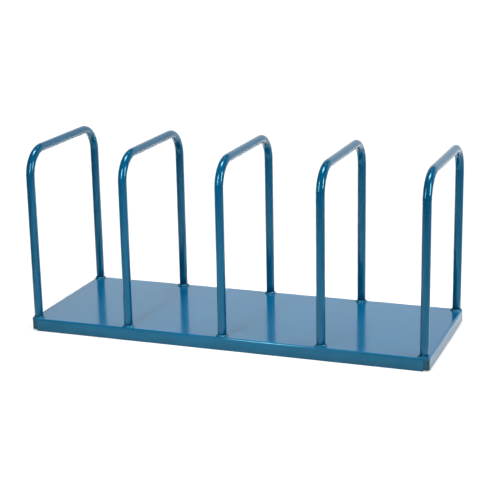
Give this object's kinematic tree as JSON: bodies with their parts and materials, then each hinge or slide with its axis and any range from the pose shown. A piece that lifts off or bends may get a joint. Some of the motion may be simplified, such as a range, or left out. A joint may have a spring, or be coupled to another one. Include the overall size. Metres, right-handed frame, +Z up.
{
  "type": "vertical divider rack",
  "caption": "Free-standing rack that holds sheets, boards or panels on edge: a folded sheet-steel deck with upright bent-tube hoops welded across it to divide it into bays.",
  "frame": {"origin": "on the floor, under the middle of the deck", "axes": "+X along the deck's length, +Y from front to back, +Z up"},
  "size_m": [1.2192, 0.4572, 0.5588],
  "materials": {
    "blue_enamel": "semi-gloss"
  },
  "bodies": {
    "root": {"channel_welds": "blue_enamel", "corner_weld_back_left": "blue_enamel", "corner_weld_back_right": "blue_enamel", "corner_weld_front_left": "blue_enamel", "corner_weld_front_right": "blue_enamel", "deck_channel": "blue_enamel", "deck_tray": "blue_enamel", "foot_weld_1_back": "blue_enamel", "foot_weld_1_front": "blue_enamel", "foot_weld_2_back": "blue_enamel", "foot_weld_2_front": "blue_enamel", "foot_weld_3_back": "blue_enamel", "foot_weld_3_front": "blue_enamel", "foot_weld_4_back": "blue_enamel", "foot_weld_4_front": "blue_enamel", "foot_weld_5_back": "blue_enamel", "foot_weld_5_front": "blue_enamel", "hoop_1": "blue_enamel", "hoop_2": "blue_enamel", "hoop_3": "blue_enamel", "hoop_4": "blue_enamel", "hoop_5": "blue_enamel"}
  },
  "joints": []
}
